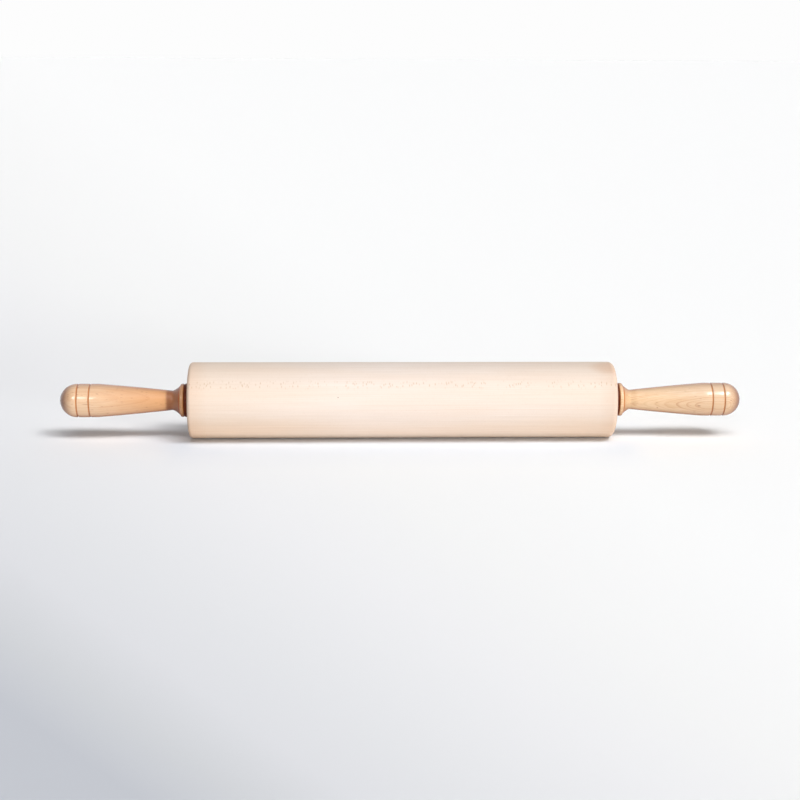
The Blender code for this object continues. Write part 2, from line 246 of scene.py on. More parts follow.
def drawn_noise(tree, point, along, across, detail=1.0, roughness=0.5):
    """Noise with other marks to the metre along the pin than across it."""
    drawn = vector_maths(tree, "MULTIPLY", point, (along, across, across))
    return noise(tree, drawn, 1.0, detail, roughness)


def new_group(name, numbers, results):
    """Shader node group that turns a point and numbers into numbers: tree, input sockets, result node."""
    tree = bpy.data.node_groups.new(name, "ShaderNodeTree")
    tree.interface.new_socket(name="Point", in_out="INPUT", socket_type="NodeSocketVector")
    for label, value in numbers.items():
        socket = tree.interface.new_socket(name=label, in_out="INPUT", socket_type="NodeSocketFloat")
        socket.default_value = value
    for label in results:
        tree.interface.new_socket(name=label, in_out="OUTPUT", socket_type="NodeSocketFloat")
    return tree, tree.nodes.new("NodeGroupInput").outputs, tree.nodes.new("NodeGroupOutput")


def use_group(tree, group, values):
    return add_node(tree, "Group", values, node_tree=group).outputs


def shared_group(name, make):
    """The node group of that name, made the first time that a piece asks for it."""
    return bpy.data.node_groups.get(name) or make()


def new_material(name, **constants):
    """Material with a Principled shader, whose unvarying values are set on its own sockets."""
    made = bpy.data.materials.new(name)
    made.use_nodes = True
    shader = made.node_tree.nodes["Principled BSDF"]
    for label, value in constants.items():
        shader.inputs[label.replace("_", " ")].default_value = value
    return made, made.node_tree, shader


def add_bump(tree, shader, height, distance, strength):
    bump = add_node(tree, "Bump", {"Height": height, "Distance": distance, "Strength": strength})
    tree.links.new(bump.outputs[0], shader.inputs["Normal"])


def axis_point(tree, pith_distance=0.0, turned=0.0):
    """Object coordinates from the pin's axis, turned about it, then moved to count from a board's pith."""
    found = add_node(tree, "TexCoord").outputs["Object"]
    lowered = vector_maths(tree, "SUBTRACT", found, (0, 0, AXIS_HEIGHT))
    if not turned and not pith_distance:
        return lowered
    values = {"Vector": lowered, "Location": (0, pith_distance, 0), "Rotation": (turned, 0, 0)}
    return add_node(tree, "Mapping", values).outputs[0]


def end_on(tree):
    """1 where the surface faces along the pin and 0 where it faces away from the axis."""
    normal = add_node(tree, "TexCoord").outputs["Normal"]
    return calculate(tree, "ABSOLUTE", parts_of(tree, normal)[0])


KNOT_CORE = 0.35  # share of a mark's half size within which it is full


def knot(tree, along, degrees, radius, half_size):
    """1 in one soft-edged mark on a turned surface, such as a pin knot or a stain.

    The turn about the axis counts from the front upwards. The half size is along the pin and across it.
    """
    turn = math.radians(degrees)
    centre = (along, -math.cos(turn) * radius, math.sin(turn) * radius)
    away = vector_maths(tree, "SUBTRACT", axis_point(tree), centre)
    half_length, half_width = half_size
    scaled = vector_maths(tree, "MULTIPLY", away, (1 / half_length, 1 / half_width, 1 / half_width))
    return ramp(tree, vector_maths(tree, "LENGTH", scaled), KNOT_CORE, 1.0, 1.0, 0.0)


# Grain


RING_JITTER = 0.0007  # how far the fine wander moves a ring
YEAR_SPREAD = 1.6  # how far uneven years move a ring, in years
DARK_START, DARK_FULL, DARK_LAST = 0.55, 0.93, 0.94  # the dark line that ends a year, in shares of it
FAINTEST_RING = 0.35
THREAD_SHARE = 0.35  # of the fibre, and the coarser streaks make up the rest
FLECK_HEIGHT = 0.0022
FLECK_CORE, FLECK_EDGE = 0.1, 0.42  # distances from a cell's point, in cells


def grain_group():
    """Grain of a solid board, for a point measured from its pith, which runs along X.

    Rings is 1 on the thin dark line that ends each year. Fibre is the fine streaking along the board.
    Flecks is 1 on the small lens shapes of the rays. Tone is broad and cloudy.
    """
    tree, given, result = new_group(
        "maple_grain",
        {
            "Ring Width": 0.0014,
            "Wander": 0.002,
            "Fleck Length": 0.002,
            "Fleck Width": 0.00045,
            "Fleck Share": 0.15,
        },
        ("Rings", "Fibre", "Flecks", "Tone"),
    )
    point = given["Point"]
    parts = parts_of(tree, point)
    across = add_node(tree, "CombineXYZ", {1: parts[1], 2: parts[2]}).outputs[0]
    from_pith = vector_maths(tree, "LENGTH", across)
    slow = drawn_noise(tree, point, along=5, across=24, detail=2)
    fine = drawn_noise(tree, point, along=26, across=160)
    wander = calculate(tree, "MULTIPLY", calculate(tree, "SUBTRACT", slow, 0.5), given["Wander"])
    jitter = calculate(tree, "MULTIPLY", calculate(tree, "SUBTRACT", fine, 0.5), RING_JITTER)
    radius = calculate(tree, "ADD", from_pith, wander, jitter)
    years = calculate(tree, "DIVIDE", radius, given["Ring Width"])
    uneven = noise(tree, add_node(tree, "CombineXYZ", {0: years}).outputs[0], scale=0.37, detail=1)
    years = calculate(tree, "ADD", years, calculate(tree, "MULTIPLY", uneven, YEAR_SPREAD))
    share = calculate(tree, "FRACT", years)
    rise = ramp(tree, share, DARK_START, DARK_FULL)
    fall = ramp(tree, share, DARK_LAST, 1.0, 1.0, 0.0)
    year = calculate(tree, "FLOOR", years)
    strength = add_node(tree, "TexWhiteNoise", {"W": year}, noise_dimensions="1D").outputs[0]
    strength = ramp(tree, strength, 0.0, 1.0, FAINTEST_RING, 1.0)
    rings = calculate(tree, "MULTIPLY", rise, fall, strength)

    streaks = drawn_noise(tree, point, along=9, across=700, detail=3, roughness=0.6)
    threads = drawn_noise(tree, point, along=30, across=2600)
    streaks = calculate(tree, "MULTIPLY", streaks, 1 - THREAD_SHARE)
    fibre = calculate(tree, "ADD", streaks, calculate(tree, "MULTIPLY", threads, THREAD_SHARE))

    turn = calculate(tree, "ARCTAN2", parts[2], parts[1])
    around = calculate(tree, "MULTIPLY", turn, from_pith)
    place = {
        0: calculate(tree, "DIVIDE", parts[0], given["Fleck Length"]),
        1: calculate(tree, "DIVIDE", around, given["Fleck Width"]),
        2: calculate(tree, "DIVIDE", radius, FLECK_HEIGHT),
    }
    spot = add_node(tree, "CombineXYZ", place).outputs[0]
    cells = add_node(tree, "TexVoronoi", {"Vector": spot, "Scale": 0.55, "Randomness": 1.0})
    picked = add_node(tree, "SeparateColor", {0: cells.outputs["Color"]}).outputs[0]
    chosen = calculate(tree, "LESS_THAN", picked, given["Fleck Share"])
    body = ramp(tree, cells.outputs["Distance"], FLECK_CORE, FLECK_EDGE, 1.0, 0.0)
    flecks = calculate(tree, "MULTIPLY", chosen, body)

    tone = drawn_noise(tree, point, along=7, across=45, detail=3, roughness=0.55)
    connect(tree, result, {"Rings": rings, "Fibre": fibre, "Flecks": flecks, "Tone": tone})
    return tree


def machining_group():
    """Fine lines that a lathe or grinder leaves round the axis, for a point measured from that axis."""
    tree, given, result = new_group("turned_steel", {"Lines": 9000.0}, ("Lines", "Stain"))
    parts = parts_of(tree, given["Point"])
    across = add_node(tree, "CombineXYZ", {1: parts[1], 2: parts[2]}).outputs[0]
    radius = vector_maths(tree, "LENGTH", across)
    place = add_node(tree, "CombineXYZ", {0: parts[0], 1: radius}).outputs[0]
    scaled = add_node(tree, "VectorMath", {0: place, "Scale": given["Lines"]}, operation="SCALE").outputs[0]
    lines = noise(tree, scaled, scale=1, detail=2, roughness=0.6)
    stain = noise(tree, given["Point"], scale=260, detail=3)
    connect(tree, result, {"Lines": lines, "Stain": stain})
    return tree


# Materials. Where a ramp takes a noise, its first two numbers are the noise's values at its two ends


FLAT_START = 0.72  # share of the radius, aside from the row of rays, at which the years start to lie flat
RAY_ROW_CORE, RAY_ROW_EDGE = 0.0012, 0.005  # half widths of the row in which the rays show
NECK_SHADE_CORE, NECK_SHADE_EDGE = 1.3, 1.6  # where the painted shade in the neck fades out, in distances of the neck from the face
CUT_CORE = 0.45  # share of a cut line's reach within which it is dark
ROUGH_SPREAD = 0.25  # of a metal's roughness, to either side


def barrel_material(s, grain):
    """Bare, fine-sanded maple, with end grain on the flat ends."""
    made, tree, shader = new_material("barrel_pale_maple", Specular_IOR_Level=0.32)
    turned = s.grain_turn
    radius = s.radius
    point = axis_point(tree, s.pith_distance, turned)
    values = {"Point": point, "Ring Width": s.ring_width, "Wander": 0.004}
    values.update({"Fleck Length": 0.001, "Fleck Width": 0.0016, "Fleck Share": 0.85})
    found = use_group(tree, grain, values)
    colour = paint(tree, linear(s.pale), s.warm, ramp(tree, found["Tone"], 0.3, 0.7))
    colour = paint(tree, colour, s.ring, found["Rings"], s.ring_share)
    shade = ramp(tree, found["Fibre"], 0.35, 0.65, 0.0, s.fibre_share)
    colour = paint(tree, colour, s.fibre, shade)

    # The wood is warmer where the years lie flat in the surface, and rays show where they stand on edge
    plain = parts_of(tree, axis_point(tree, turned=turned))
    edge_on = calculate(tree, "ABSOLUTE", plain[1])
    flat = ramp(tree, edge_on, radius * FLAT_START, radius, 0.0, s.flat_share)
    colour = tint(tree, colour, s.flat_tint, flat)
    near_rays = ramp(tree, edge_on, RAY_ROW_CORE, RAY_ROW_EDGE, 1.0, 0.0)
    upper = calculate(tree, "GREATER_THAN", plain[2], 0.0)
    row = calculate(tree, "MULTIPLY", near_rays, upper, s.row_share)
    shown = calculate(tree, "ADD", row, s.fleck_share)
    colour = paint(tree, colour, s.fleck, found["Flecks"], shown)
    speck = knot(tree, along=-0.0583, degrees=16.5, radius=radius, half_size=(0.0007, 0.0006))
    colour = paint(tree, colour, s.speck, speck)

    # The wood darkens towards both ends and is darker and warmer still at them, with one stain at the right
    # end
    along = parts_of(tree, axis_point(tree))[0]
    left = ramp(tree, along, s.left_endward_start, -BARREL_END, smooth=False)
    right = ramp(tree, along, s.right_endward_start, BARREL_END, 0.0, s.right_share, False)
    colour = tint(tree, colour, s.endward_tint, calculate(tree, "MAXIMUM", left, right))
    from_middle = calculate(tree, "ABSOLUTE", along)
    near_end = ramp(tree, from_middle, BARREL_END - s.end_reach, BARREL_END, smooth=False)
    colour = tint(tree, colour, s.end_tint, near_end, s.end_share)
    stain = knot(tree, along=0.186, degrees=72, radius=radius, half_size=(0.022, 0.014))
    colour = tint(tree, colour, s.end_tint, stain, s.stain_share)

    pores = noise(tree, point, scale=2600)
    dark_end = tint(tree, colour, s.end_grain, ramp(tree, pores, 0.4, 0.62, 0.0, 0.5))
    dark_end = paint(tree, dark_end, s.ring, found["Rings"], s.end_ring_share)
    colour = blend(tree, ramp(tree, end_on(tree), 0.8, 0.98), colour, dark_end)
    rough = ramp(tree, found["Fibre"], 0.3, 0.7, 0.52, 0.66)
    connect(tree, shader, {"Base Color": colour, "Roughness": rough})
    relief = calculate(tree, "SUBTRACT", found["Fibre"], calculate(tree, "MULTIPLY", found["Rings"], 0.4))
    add_bump(tree, shader, relief, distance=0.00004, strength=0.5)
    return made


def handle_material(name, s, grain, tones, turned, pith_distance, rings, ring_share, flecks, knots):
    """Maple under clear gloss lacquer, which lies darker in the cut lines.

    The tones are the grip, the neck, the painted shade in the neck and the soaked end grain, which on the
    left dome is darker by painted shade too. The rings are given by their width, and the flecks by the share
    of them that show.
    """
    made, tree, shader = new_material(name, Coat_Weight=0.8, Coat_Roughness=s.gloss, Specular_IOR_Level=0.3)
    point = axis_point(tree, pith_distance, turned)
    values = {"Point": point, "Ring Width": rings, "Wander": 0.005}
    values.update({"Fleck Length": 0.0024, "Fleck Share": flecks})
    found = use_group(tree, grain, values)
    from_middle = calculate(tree, "ABSOLUTE", parts_of(tree, axis_point(tree))[0])
    grip, neck, shadowed, soaked_and_shaded = tones
    neck_place = HANDLE_FACE + s.neck
    towards_grip = ramp(tree, from_middle, neck_place, HANDLE_FACE + s.outer_cut)
    colour = paint(tree, linear(neck), grip, towards_grip)
    cloud = ramp(tree, found["Tone"], 0.32, 0.68, 0.0, s.honey_share)
    colour = tint(tree, colour, s.honey, cloud)
    colour = paint(tree, colour, s.ring, found["Rings"], ring_share)
    shade = ramp(tree, found["Fibre"], 0.38, 0.66, 0.0, s.fibre_share)
    colour = paint(tree, colour, s.fibre, shade)
    colour = paint(tree, colour, s.fleck, found["Flecks"], s.fleck_share)
    for mark in knots:
        colour = paint(tree, colour, s.fleck, knot(tree, **mark), s.knot_share)

    # Soaked end grain darkens the domes, and the left dome's darker tint also paints the shade on its side
    # away from the light
    across_grain = ramp(tree, end_on(tree), 0.12, 0.95)
    past_neck = calculate(tree, "GREATER_THAN", from_middle, neck_place)
    colour = tint(tree, colour, soaked_and_shaded, across_grain, past_neck)
    # Painted shade in the neck: the barrel's cast shadow on the left handle, and a faint darkening in the
    # right one
    shade_fades = [HANDLE_FACE + s.neck * share for share in (NECK_SHADE_CORE, NECK_SHADE_EDGE)]
    in_neck = ramp(tree, from_middle, *shade_fades, 1.0, 0.0)
    past_step = calculate(tree, "GREATER_THAN", from_middle, HANDLE_FACE + s.quirk)
    colour = tint(tree, colour, shadowed, in_neck, past_step)
    # Darker where the surface is seen at a slant: partly the lacquer's deeper colour, partly painted shade at
    # the handles' edges
    slanted = add_node(tree, "LayerWeight", {"Blend": 0.5}).outputs["Facing"]
    colour = tint(tree, colour, s.slant_tint_and_edge_shade, ramp(tree, slanted, 0.2, 0.95))
    lines = []
    for place, reach in s.cuts():
        away = calculate(tree, "SUBTRACT", from_middle, HANDLE_FACE + place)
        away = calculate(tree, "ABSOLUTE", away)
        lines.append(ramp(tree, away, reach * CUT_CORE, reach, 1.0, 0.0))
    colour = tint(tree, colour, s.cut, calculate(tree, "MAXIMUM", *lines), s.cut_share)
    rough = ramp(tree, found["Fibre"], 0.3, 0.7, 0.36, 0.5)
    connect(tree, shader, {"Base Color": colour, "Roughness": rough})
    sag = drawn_noise(tree, axis_point(tree), along=60, across=130)
    relief = calculate(tree, "ADD", sag, calculate(tree, "MULTIPLY", found["Fibre"], 0.02))
    add_bump(tree, shader, relief, distance=0.0002, strength=0.25)
    return made


def collar_material(s):
    """Moulded plastic with a faint flow pattern and fine scuffs."""
    made, tree, shader = new_material("collar_brown_plastic", Specular_IOR_Level=0.12)
    point = axis_point(tree)
    flow = drawn_noise(tree, point, along=90, across=260, detail=3)
    scuffs = drawn_noise(tree, point, along=2600, across=700, detail=2)
    colour = paint(tree, linear(s.brown), s.red, ramp(tree, flow, 0.35, 0.7))
    connect(tree, shader, {"Base Color": colour, "Roughness": ramp(tree, scuffs, 0.4, 0.7, 0.34, 0.5)})
    add_bump(tree, shader, flow, distance=0.0001, strength=0.3)
    return made


def metal_material(name, machining, bright, dull, rough, lines, depth):
    """Metal with fine lines to the metre round the axis. Its two colours are in levels from 0 to 255."""
    made, tree, shader = new_material(name, Metallic=1.0)
    found = use_group(tree, machining, {"Point": axis_point(tree), "Lines": lines})
    stained = ramp(tree, found["Stain"], 0.35, 0.7)
    colour = paint(tree, linear(from_levels(bright)), from_levels(dull), stained)
    smoothest, roughest = rough * (1 - ROUGH_SPREAD), rough * (1 + ROUGH_SPREAD)
    varied = ramp(tree, found["Lines"], 0.3, 0.7, smoothest, roughest)
    connect(tree, shader, {"Base Color": colour, "Roughness": varied})
    add_bump(tree, shader, found["Lines"], depth, strength=0.5)
    return made


# Share of the way to white at which each tone of the floor's painted shade stands
FLOOR_TONES = {
    "mid_grey": 0.114,
    "light_grey": 0.229,
    "pale_grey": 0.343,
    "palest_grey": 0.571,
    "off_white": 0.743,
}
# Where the floor turns white again: below, in distances of the pin, and beside, in half widths of the picture
CLOSEST, WHITE_BELOW, FIRST_WHITE_BELOW = 0.2, 0.25, 0.5
FIRST_WHITE_BESIDE, WHITE_BESIDE = 1.1, 2
TINT_CORE = 0.3  # share of a floor tint's reach within which it is full
FRONT_START, FRONT_FULL = -0.012, -0.024  # where the tint before the barrel comes up, along Y
FRONT_FADE = 0.03  # how far that tint reaches past the barrel's ends


def floor_material(s):
    """Pale floor with cool greys of painted shade at the front left, which fade to white out of the picture.

    The greys and the tint before the barrel show in the picture alone: the wood gets a white floor's light.
    """
    made, tree, shader = new_material("floor_pale", Roughness=1.0, Specular_IOR_Level=0.0)
    found = add_node(tree, "TexCoord").outputs["Object"]
    right, up, back = camera_axes(s).transposed()
    turn = s.clearing_turn
    lighter = right * math.cos(turn) + up * math.sin(turn)
    aim = Vector(s.aim)
    distance = s.distance
    nearer = vector_maths(tree, "DOT_PRODUCT", found, back)
    away = calculate(tree, "SUBTRACT", distance + aim.dot(back), nearer)
    away = calculate(tree, "MAXIMUM", away, distance * CLOSEST)
    # The tones fan out from below the camera, so their edges lie straight in its picture
    tangents = []
    for axis in (lighter, right):
        aside = vector_maths(tree, "DOT_PRODUCT", found, axis)
        aside = calculate(tree, "SUBTRACT", aside, aim.dot(axis))
        tangents.append(calculate(tree, "DIVIDE", aside, away))
    clearing, beside = tangents
    share = ramp(tree, clearing, s.grey_end, s.white_start, smooth=False)
    below = ramp(tree, away, distance * FIRST_WHITE_BELOW, distance * WHITE_BELOW)
    left_edge = -SENSOR_WIDTH / 2 / s.lens
    left = ramp(tree, beside, left_edge * FIRST_WHITE_BESIDE, left_edge * WHITE_BESIDE)
    shown = add_node(tree, "LightPath").outputs["Is Camera Ray"]
    share = calculate(tree, "MAXIMUM", share, below, left, calculate(tree, "SUBTRACT", 1.0, shown))
    bands = add_node(tree, "ValToRGB", {0: share})
    stops = bands.color_ramp.elements
    stops[0].color = linear(s.grey)
    stops[1].color = linear(s.white)
    for name, place in FLOOR_TONES.items():
        stops.new(place).color = linear(getattr(s, name))

    # Light off the wood warms the floor beside it, so the floor is a little cooler there
    parts = parts_of(tree, found)
    past_end = calculate(tree, "SUBTRACT", calculate(tree, "ABSOLUTE", parts[0]), BARREL_END)
    past_end = calculate(tree, "MAXIMUM", past_end, 0.0)
    from_pin = add_node(tree, "CombineXYZ", {0: past_end, 1: parts[1]}).outputs[0]
    from_pin = vector_maths(tree, "LENGTH", from_pin)
    near = ramp(tree, from_pin, s.cool_reach * TINT_CORE, s.cool_reach, 1.0, 0.0)
    colour = tint(tree, bands.outputs[0], s.cool_tint, near)
    # More of that light falls before the barrel
    front = -s.front_reach
    before = ramp(tree, parts[1], FRONT_START, FRONT_FULL)
    abreast = ramp(tree, past_end, 0.0, FRONT_FADE, 1.0, 0.0)
    near = ramp(tree, parts[1], front * TINT_CORE, front, 1.0, 0.0)
    before = calculate(tree, "MULTIPLY", before, abreast, near, shown)
    colour = tint(tree, colour, s.front_tint, before)
    connect(tree, shader, {"Base Color": colour})
    return made


# Settings


def length(name, text, value):
    return FloatProperty(name=name, description=text, default=value, unit="LENGTH", subtype="DISTANCE")


def angle(name, text, degrees):
    value = math.radians(degrees)
    return FloatProperty(name=name, description=text, default=value, unit="ROTATION", subtype="ANGLE")


def factor(name, value, text="How strongly it shows"):
    return FloatProperty(name=name, description=text, default=value, min=0.0, max=1.0, subtype="FACTOR")


def level(name, text, value):
    return FloatProperty(name=name, description=text, default=value, min=0.0)


def count(name, text, value, least):
    return IntProperty(name=name, description=text, default=value, min=least)


def swatch(name, text, levels):
    seen = {"default": from_levels(levels), "min": 0.0, "max": 1.0, "subtype": "COLOR_GAMMA"}
    return FloatVectorProperty(name=name, description=text, size=3, **seen)


class RollingPinBarrel(PropertyGroup):
    radius: length("Radius", "Radius of the turned surface", AXIS_HEIGHT)
    left_corner: length("Left corner", "Radius of the rounded left corner", 0.0034)
    right_corner: length("Right corner", "Radius of the rounded right corner", 0.0052)
    seat_radius: length("Bearing seat", "Radius of the bore that each bearing sits in", 0.0112366)
    seat_depth: length("Seat depth", "Depth of each bearing seat", 0.008242)
    seat_round: length("Seat mouth", "Rounding of each seat's mouth", 0.0004)
    bore_radius: length("Bore", "Radius of the bore round the rod", 0.0062625)
    sides: count("Sides", "Faces round the barrel", 192, 24)
    corner_sides: count("Corner sides", "Faces across a rounded corner", 10, 1)
    pale: swatch("Pale wood", "Lightest colour of the bare maple", (214, 202, 194))
    warm: swatch("Warm wood", "Colour of the broad warm patches", (213, 198, 187))
    ring: swatch("Ring line", "Colour of the line that ends a year", (204, 166, 140))
    ring_share: factor("Ring strength", 0.26)
    fibre: swatch("Fibre", "Colour of the fine streaks", (190, 174, 160))
    fibre_share: factor("Fibre strength", 0.2)
    fleck: swatch("Flecks", "Colour of the rays' flecks", (178, 146, 112))
    fleck_share: factor("Fleck strength", 0.06, "How strongly the flecks show all round")
    row_share: factor("Row strength", 0.5, "How strongly they show in their row, besides that")
    speck: swatch("Speck", "Colour of the one dark speck", (128, 104, 84))
    flat_tint: swatch("Flat tint", "Tint of the wood where the years lie flat", (255, 247, 237))
    flat_share: factor("Flat strength", 0.8)
    # A tint that darkens the wood more and more towards both ends
    endward_tint: swatch("Handled tint", "Tint of the wood that hands have darkened", (250, 245, 237))
    left_endward_start: length("Left handled", "Where that tint starts towards the left end", -0.05)
    right_endward_start: length("Right handled", "Where that tint starts towards the right end", 0.02)
    right_share: factor("Right strength", 0.8, "How strongly that tint shows at the right end")
    end_tint: swatch("End tint", "Tint of the wood near its ends", (238, 216, 198))
    end_reach: length("End reach", "How far that tint reaches from an end", 0.018)
    end_share: factor("End strength", 0.38)
    stain_share: factor("Stain strength", 0.5)
    end_grain: swatch("End grain", "Tint of the pores on the flat ends", (206, 172, 134))
    end_ring_share: factor("End rings", 0.5, "How strongly the ring lines show on the flat ends")
    ring_width: length("Ring width", "Mean width of a year's growth", 0.0012)
    pith_distance: length("Pith distance", "How far the board's heart lay from the axis", 0.09)
    grain_turn: angle("Grain turn", "Turn of the grain about the axis", -54)


class RollingPinHandles(PropertyGroup):
    grip_radius: length("Grip", "Radius of the grip, the dome and the rim", 0.0151)
    dome_foot: length("Dome foot", "Where the dome starts, from the handle's flat face", 0.0973)
    outer_cut: length("Outer cut", "Middle of the cut line next to the dome", 0.0959)
    inner_cut: length("Inner cut", "Middle of the second cut line", 0.0849)
    cut_width: length("Cut width", "Width of a cut line", 0.0015)
    cut_depth: length("Cut depth", "Depth of a cut line", 0.0006)
    bead: length("Bead", "Height of the swelling between the cut lines", 0.00016)
    bead_round: length("Bead rounding", "Distance over which that swelling is rounded", 0.0045)
    taper_lead: length("Taper lead", "How far before the taper the grip's last point lies", 0.003)
    taper_start: length("Taper start", "Where the grip starts to narrow", 0.0777)
    taper_bulge: length("Taper swell", "Height of the taper's swelling", 0.00028)
    neck: length("Neck", "Where the handle is narrowest", 0.0111)
    neck_radius: length("Neck radius", "Radius of the neck", 0.00885)
    quirk: length("Quirk", "Fine step between the rim's bead and the hollow", 0.0044)
    quirk_radius: length("Quirk radius", "Radius of the handle at that step", 0.01305)
    quirk_depth: length("Quirk depth", "Depth of that step's cut", 0.0002)
    rim_round: length("Rim edge", "Rounding of the rim's edge at the collar", 0.0013)
    rim_inner_round: length("Rim's inner edge", "Rounding of its edge at the step", 0.0019)
    bore_radius: length("Bore", "Radius of the bore for the insert", 0.006153)
    bore_depth: length("Bore depth", "Depth of that bore before its drill point", 0.0128)
    bore_chamfer: length("Bore chamfer", "Chamfer at its mouth", 0.0005)
    sides: count("Sides", "Faces round a handle", 112, 24)
    corner_sides: count("Corner sides", "Faces across a rounded corner", 24, 1)
    gloss: factor("Lacquer roughness", 0.17, "Roughness of the lacquer")
    left_grip: swatch("Left grip", "Colour of the left handle's grip", (207, 178, 149))
    left_neck: swatch("Left neck", "Colour of the left handle's neck", (194, 142, 94))
    right_grip: swatch("Right grip", "Colour of the right handle's grip", (210, 186, 160))
    right_neck: swatch("Right neck", "Colour of the right handle's neck", (216, 187, 152))
    # Painted shadow of the barrel on the left neck, and faint painted shade in the right neck
    left_neck_shadow: swatch("Left pool", "Tint of the lacquer pooled in the left neck", (186, 149, 98))
    right_neck_shade: swatch("Right pool", "Tint of the lacquer pooled in the right neck", (246, 242, 236))
    # The left end's tint is darker than the right's by painted shade on the side away from the light
    left_end_and_shade: swatch("Left end grain", "Tint of the left dome's soaked end", (160, 126, 106))
    right_end: swatch("Right end grain", "Tint of the right dome's soaked end", (176, 146, 128))
    honey: swatch("Honey tint", "Tint of the warm patches", (240, 220, 196))
    honey_share: factor("Honey strength", 0.55)
    ring: swatch("Ring line", "Colour of the line that ends a year", (166, 106, 58))
    fibre: swatch("Fibre", "Colour of the fine streaks", (186, 134, 86))
    fibre_share: factor("Fibre strength", 0.3)
    fleck: swatch("Flecks", "Colour of the short dashes", (134, 80, 42))
    fleck_share: factor("Fleck strength", 0.5)
    knot_share: factor("Knot strength", 0.7)
    # Partly the lacquer's deeper colour at a slant, partly painted shade at the handles' edges
    slant_tint_and_edge_shade: swatch("Deep lacquer", "Tint of the lacquer where it is seen at a slant", (186, 138, 96))
    cut: swatch("Cut lines", "Tint of the lacquer that lies in the cut lines", (252, 188, 56))
    cut_share: factor("Cut strength", 0.8)
    cut_reach: FloatProperty(name="Cut reach", description="Its reach for a line's width", default=0.55)
    edge_reach: length("Edge reach", "Its reach from the step and from the flat face", 0.0006)

    def cuts(self):
        """Middle and reach of each line that the lacquer darkens, from the handle's flat face."""
        return (
            (self.outer_cut, self.cut_width * self.cut_reach),
            (self.inner_cut, self.cut_width * self.cut_reach),
            (self.quirk, self.edge_reach),
            (0.0, self.edge_reach),
        )


class RollingPinCollars(PropertyGroup):
    radius: length("Radius", "Radius of the flange", 0.0152)
    round: length("Edge", "Radius of the flange's rounded edges", 0.0009)
    gap: length("Gap", "Gap between the flange and the barrel", 0.0005)
    bore_radius: length("Bore", "Radius of the bore round the rod", 0.004905)
    boss_radius: length("Boss", "Radius of the boss that bears on the inner race", 0.006305)
    boss_round: length("Boss edge", "Rounding of the boss and of the bore's mouth", 0.0003)
    sides: count("Sides", "Faces round a collar", 112, 24)
    corner_sides: count("Corner sides", "Faces across a rounded corner", 6, 1)
    brown: swatch("Brown", "Main colour of the plastic", (78, 29, 8))
    red: swatch("Red brown", "Warmer colour of its flow marks", (94, 39, 12))


class RollingPinStage(PropertyGroup):
    floor_size: length("Floor size", "Side of the floor", 80)
    white: swatch("White", "Colour of most of the floor", (253, 253, 253))
    # The greys below paint shade on the floor's front left, seen by the camera alone
    off_white: swatch("Off-white", "Colour of the floor where it starts to darken", (247, 247, 247))
    palest_grey: swatch("Palest grey", "Next colour to the front left", (241, 241, 243))
    pale_grey: swatch("Pale grey", "Next colour to the front left", (230, 231, 234))
    light_grey: swatch("Light grey", "Next colour to the front left", (225, 226, 230))
    mid_grey: swatch("Middle grey", "Next colour to the front left", (212, 214, 218))
    grey: swatch("Grey", "Colour of the floor at the front left", (198, 201, 208))
    clearing_turn: angle("Clearing turn", "Direction in the picture in which the grey clears", 55)
    grey_end: FloatProperty(name="Grey end", description="Tangent at which it starts to clear", default=-0.31)
    white_start: FloatProperty(name="White start", description="Tangent at which it is white", default=0.04)
    cool_tint: swatch("Cool tint", "Tint of the floor beside the pin", (247, 250, 253))
    cool_reach: length("Cool reach", "How far from the pin's axis that tint reaches", 0.08)
    front_tint: swatch("Front tint", "Tint of the floor before the barrel", (245, 248, 252))
    front_reach: length("Front reach", "How far before the pin's axis that tint reaches", 0.13)
    distance: length("Camera distance", "Distance of the camera from the pin", 1.4)
    azimuth: angle("Camera azimuth", "Turn of the camera round the pin", -2.0)
    elevation: angle("Camera elevation", "Angle of the camera above the floor", 13.0)
    roll: angle("Camera roll", "Roll of the camera", 0.33)
    lens: FloatProperty(name="Lens", description="Focal length", default=69.07, unit="CAMERA")
    aim: FloatVectorProperty(
        name="Aim",
        description="Point that the camera looks at",
        default=(-0.00206, 0.0, 0.03424),
        size=3,
        unit="LENGTH",
    )
    sky: level("Sky", "Level of the light from all round", 0.045)
    glow: level("Glow", "Level of the soft light from behind", 1.0)
    seen: level("Seen", "Level at which the backdrop shows", 0.982)
    fill_tint: swatch("Fill tint", "Colour of the soft light, cool to answer the wood", (246, 251, 255))
    key: level("Key", "Level of the main light", 0.94)
    far: level("Far light", "Level of the light further to the right", 1.04)
    high: level("High", "Level of the high light", 0.78)
    side: level("Side", "Level of the low light from the right", 1.9)
    front: level("Front", "Level of the low light from the front", 0.58)
    left: level("Left light", "Level of the light from the left", 0.24)
    right_shine: level("Right shine", "Level of the highlight on the right", 2.3)
    left_shine: level("Left shine", "Level of the highlight on the left", 0.85)


class RollingPinSettings(PropertyGroup):
    barrel: PointerProperty(type=RollingPinBarrel)
    handles: PointerProperty(type=RollingPinHandles)
    collars: PointerProperty(type=RollingPinCollars)
    stage: PointerProperty(type=RollingPinStage)


# Outlines, lamps and the camera


